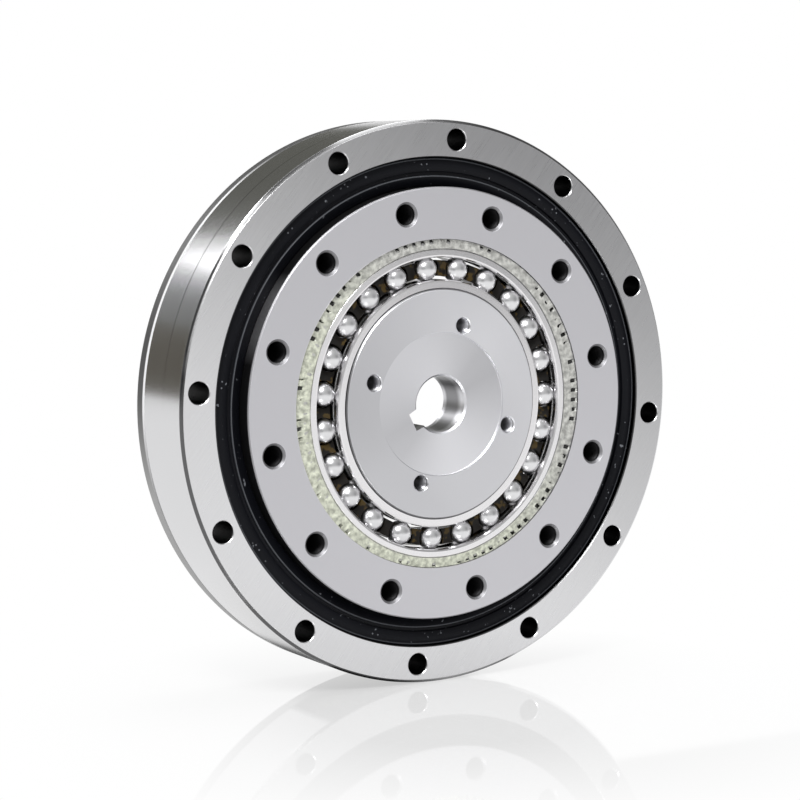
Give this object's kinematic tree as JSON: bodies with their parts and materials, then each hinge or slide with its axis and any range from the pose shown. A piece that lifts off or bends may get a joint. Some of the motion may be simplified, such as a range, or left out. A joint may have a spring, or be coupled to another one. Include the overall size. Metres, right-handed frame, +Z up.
{
  "type": "strain wave gear",
  "caption": "Flat strain wave gear: an oval cam in a thin ball bearing flexes a toothed steel rim inside a ring output that turns on crossed rollers.",
  "frame": {"origin": "centre of the mounting face at the back, on the gear's axis", "axes": "+Y along the gear's axis out of the mounting face, away from the output; +Z up with the unit standing on edge as in the picture; +X to the right seen from the output side"},
  "size_m": [0.09, 0.0177, 0.09],
  "materials": {
    "ground_steel": "ground face with fine slanting scratches, polished rim",
    "output_steel": "fine satin face, polished neck",
    "flexspline_steel": "turned",
    "plug_steel": "ground",
    "screw_steel": "black oxide",
    "seal_rubber": "oily black moulded rubber",
    "bearing_steel": "ground and polished",
    "spacer_resin": "moulded",
    "hub_alloy": "face turned",
    "race_steel": "ground",
    "cage_resin": "moulded dark amber resin, oily",
    "ball_steel": "mirror polished"
  },
  "bodies": {
    "housing": {"outer_ring": "ground_steel", "roller_plug": "plug_steel", "plug_pin": "plug_steel", "front_seal": "seal_rubber", "flexspline": "flexspline_steel", "flange_screws": "screw_steel"},
    "output_ring": {"circular_spline": "output_steel"},
    "roller_set": {"rollers_leaning_in": "bearing_steel", "rollers_leaning_out": "bearing_steel", "roller_spacers": "spacer_resin"},
    "wave_generator": {"cam_hub": "hub_alloy", "bearing_inner_race": "race_steel", "bearing_outer_race": "race_steel"},
    "ball_set": {"ball_cage": "cage_resin", "ball_01": "ball_steel", "ball_02": "ball_steel", "ball_03": "ball_steel", "ball_04": "ball_steel", "ball_05": "ball_steel", "ball_06": "ball_steel", "ball_07": "ball_steel", "ball_08": "ball_steel", "ball_09": "ball_steel", "ball_10": "ball_steel", "ball_11": "ball_steel", "ball_12": "ball_steel", "ball_13": "ball_steel", "ball_14": "ball_steel", "ball_15": "ball_steel", "ball_16": "ball_steel", "ball_17": "ball_steel", "ball_18": "ball_steel", "ball_19": "ball_steel", "ball_20": "ball_steel", "ball_21": "ball_steel", "ball_22": "ball_steel", "ball_23": "ball_steel"}
  },
  "joints": [
    {"name": "wave_generator_spin", "type": "hinge", "parent": "housing", "child": "wave_generator", "pos_m": [0, 0, 0], "axis": [0, -1, 0], "continuous": true, "deforming": ["flexspline", "ball_cage", "ball_01", "ball_02", "ball_03", "ball_04", "ball_05", "ball_06", "ball_07", "ball_08", "ball_09", "ball_10", "ball_11", "ball_12", "ball_13", "ball_14", "ball_15", "ball_16", "ball_17", "ball_18", "ball_19", "ball_20", "ball_21", "ball_22", "ball_23"]},
    {"name": "output_spin", "type": "hinge", "parent": "housing", "child": "output_ring", "pos_m": [0, 0, 0], "axis": [0, -1, 0], "continuous": true},
    {"name": "ball_set_spin", "type": "hinge", "parent": "housing", "child": "ball_set", "pos_m": [0, 0, 0], "axis": [0, -1, 0], "continuous": true},
    {"name": "roller_set_spin", "type": "hinge", "parent": "housing", "child": "roller_set", "pos_m": [0, 0, 0], "axis": [0, -1, 0], "continuous": true}
  ],
  "couplings": [
    {"joint": "output_spin", "follows": "wave_generator_spin", "ratio": 0.019608},
    {"joint": "ball_set_spin", "follows": "wave_generator_spin", "ratio": 0.45286},
    {"joint": "roller_set_spin", "follows": "wave_generator_spin", "ratio": 0.0094743}
  ]
}
